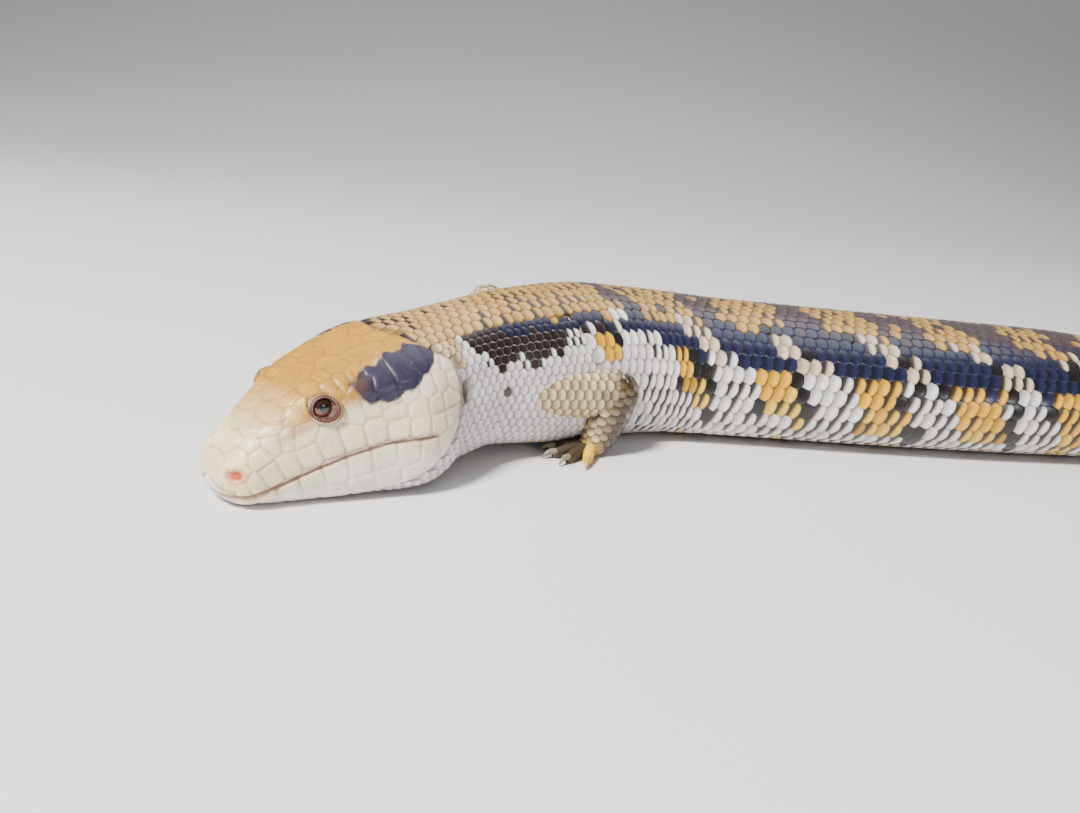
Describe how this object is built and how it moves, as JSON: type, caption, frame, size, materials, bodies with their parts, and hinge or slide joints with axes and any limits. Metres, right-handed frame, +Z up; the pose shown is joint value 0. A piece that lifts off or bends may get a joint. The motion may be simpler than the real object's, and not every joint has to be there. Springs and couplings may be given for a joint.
{
  "type": "eastern blue tongued skink, still museum model",
  "caption": "Life-size still model of an eastern blue tongued skink basking on its belly, head turned aside, with head shields, lidded eyes, banded scaly body, short legs and a tapering tail.",
  "frame": {"origin": "on the flat of the belly at floor level, under the spine at the middle of the trunk", "axes": "+X from the head towards the tail, +Y away from the animal's left side, +Z up"},
  "size_m": [0.4158, 0.1559, 0.0342],
  "materials": {
    "head_skin": "smooth glossy head shields, tan above and cream at the lips",
    "body_skin": "glossy overlapping scales, tan and cream with blue-black bands and orange flank patches",
    "leg_skin": "small satin scales, cream to olive brown",
    "claw": "smooth horn",
    "eye": "wet clear cornea over an orange-brown iris"
  },
  "bodies": {
    "root": {"head": "head_skin", "eye_left": "eye", "eye_right": "eye", "neck": "body_skin", "torso_front": "body_skin", "torso_middle": "body_skin", "torso_rear": "body_skin", "hips": "body_skin", "tail_base": "body_skin", "tail_middle": "body_skin", "tail_rear": "body_skin", "tail_tip": "body_skin", "foreleg_left_upper": "leg_skin", "foreleg_left_lower": "leg_skin", "forefoot_left": "leg_skin", "foreclaw_left_1": "claw", "foreclaw_left_2": "claw", "foreclaw_left_3": "claw", "foreclaw_left_4": "claw", "foreclaw_left_5": "claw", "foreleg_right_upper": "leg_skin", "foreleg_right_lower": "leg_skin", "forefoot_right": "leg_skin", "foreclaw_right_1": "claw", "foreclaw_right_2": "claw", "foreclaw_right_3": "claw", "foreclaw_right_4": "claw", "foreclaw_right_5": "claw", "hindleg_left_upper": "leg_skin", "hindleg_left_lower": "leg_skin", "hindfoot_left": "leg_skin", "hindclaw_left_1": "claw", "hindclaw_left_2": "claw", "hindclaw_left_3": "claw", "hindclaw_left_4": "claw", "hindclaw_left_5": "claw", "hindleg_right_upper": "leg_skin", "hindleg_right_lower": "leg_skin", "hindfoot_right": "leg_skin", "hindclaw_right_1": "claw", "hindclaw_right_2": "claw", "hindclaw_right_3": "claw", "hindclaw_right_4": "claw", "hindclaw_right_5": "claw"}
  },
  "joints": []
}
